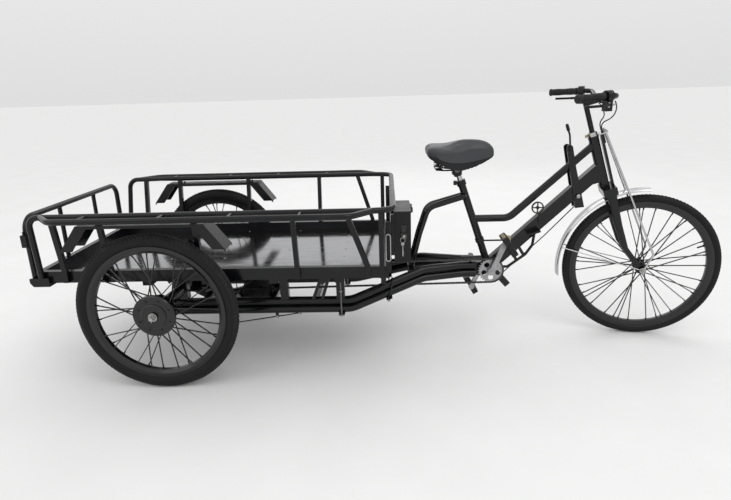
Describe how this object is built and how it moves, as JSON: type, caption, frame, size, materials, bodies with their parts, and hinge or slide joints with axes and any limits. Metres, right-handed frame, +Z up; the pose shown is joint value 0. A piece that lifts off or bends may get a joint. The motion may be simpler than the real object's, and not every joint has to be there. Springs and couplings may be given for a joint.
{
  "type": "cargo tricycle",
  "caption": "Pedal cargo tricycle with a steered front wheel, saddle and cranks ahead of a railed load bed between the rear wheels, a battery box and an assist motor.",
  "frame": {"origin": "middle of the bounding box, at the height of the floor that the tyres stand on", "axes": "+X forward, +Y to the rider's left, +Z up"},
  "size_m": [3.0131, 1.114, 1.1662],
  "materials": {
    "tyre": "matte",
    "wheel_black": "satin",
    "frame_black": "gloss",
    "bed_black": "gloss",
    "chrome": "polished",
    "bar_black": "gloss",
    "grip_rubber": "matte",
    "pedal_black": "matte",
    "silver": "satin",
    "chain_steel": "oiled",
    "motor_shell": "satin",
    "floor_steel": "polished",
    "saddle_vinyl": "soft vinyl",
    "battery_case": "satin",
    "lid_black": "satin"
  },
  "bodies": {
    "frame": {"head_tube": "frame_black", "seat_tube": "frame_black", "top_tube": "frame_black", "down_tube": "frame_black", "frame_strut": "frame_black", "chassis_rails_right": "frame_black", "chassis_rails_left": "frame_black", "chassis_crossmembers": "frame_black", "seat_stays": "frame_black", "seat_post": "chrome", "saddle": "saddle_vinyl", "saddle_springs": "bar_black", "rear_axle": "frame_black", "motor": "motor_shell", "bed_frame": "bed_black", "bed_crossmembers": "bed_black", "brake_rod": "bar_black", "bed_floor": "floor_steel", "bed_supports": "frame_black", "frame_clamps": "chrome", "front_rail": "bed_black", "side_rail_right": "bed_black", "side_rail_left": "bed_black", "mudguard_right": "bed_black", "mudguard_left": "bed_black", "battery_box": "battery_case", "battery_lock": "chrome", "chain": "chain_steel", "foot_brake": "frame_black"},
    "steering": {"fork": "frame_black", "headset": "chrome", "safety_rods": "chrome", "front_fender": "chrome", "stem": "bar_black", "handlebar": "bar_black", "grips": "grip_rubber", "brake_levers": "bar_black"},
    "front_wheel": {"front_tyre": "tyre", "front_rim": "wheel_black", "front_wheel_spokes": "wheel_black"},
    "rear_wheel_right": {"rear_tyre_right": "tyre", "rear_rim_right": "wheel_black", "rear_wheel_spokes_right": "wheel_black"},
    "rear_wheel_left": {"rear_tyre_left": "tyre", "rear_rim_left": "wheel_black", "rear_wheel_spokes_left": "wheel_black"},
    "crank": {"chainring": "silver", "crank_arms": "silver"},
    "pedal_right": {"pedal_right": "pedal_black"},
    "pedal_left": {"pedal_left": "pedal_black"},
    "tailgate": {"tailgate": "bed_black"},
    "battery_lid": {"battery_lid": "lid_black"}
  },
  "joints": [
    {"name": "steer", "type": "hinge", "parent": "frame", "child": "steering", "pos_m": [0.93365, 0, 0.85], "axis": [-0.3007, 0, 0.9537], "range_deg": [-30, 50]},
    {"name": "front_wheel_spin", "type": "hinge", "parent": "steering", "child": "front_wheel", "pos_m": [1.16468, -0.01186, 0.34569], "axis": [0.1623, 0.9854, 0.0512], "continuous": true},
    {"name": "rear_right_spin", "type": "hinge", "parent": "frame", "child": "rear_wheel_right", "pos_m": [-0.96035, -0.4725, 0.335], "axis": [0, 1, 0], "continuous": true},
    {"name": "rear_left_spin", "type": "hinge", "parent": "frame", "child": "rear_wheel_left", "pos_m": [-0.96035, 0.4725, 0.335], "axis": [0, 1, 0], "continuous": true},
    {"name": "crank_spin", "type": "hinge", "parent": "frame", "child": "crank", "pos_m": [0.45865, 0, 0.357], "axis": [0, 1, 0], "continuous": true},
    {"name": "pedal_right_spin", "type": "hinge", "parent": "crank", "child": "pedal_right", "pos_m": [0.51921, -0.149, 0.49968], "axis": [0, 1, 0], "continuous": true},
    {"name": "pedal_left_spin", "type": "hinge", "parent": "crank", "child": "pedal_left", "pos_m": [0.39808, 0.149, 0.21432], "axis": [0, 1, 0], "continuous": true},
    {"name": "tailgate_hinge", "type": "hinge", "parent": "frame", "child": "tailgate", "pos_m": [-1.49335, 0, 0.459], "axis": [0, -1, 0], "range_deg": [0, 175]},
    {"name": "battery_lid_hinge", "type": "hinge", "parent": "frame", "child": "battery_lid", "pos_m": [0.09365, 0, 0.6523], "axis": [0, 1, 0], "range_deg": [0, 100]}
  ]
}
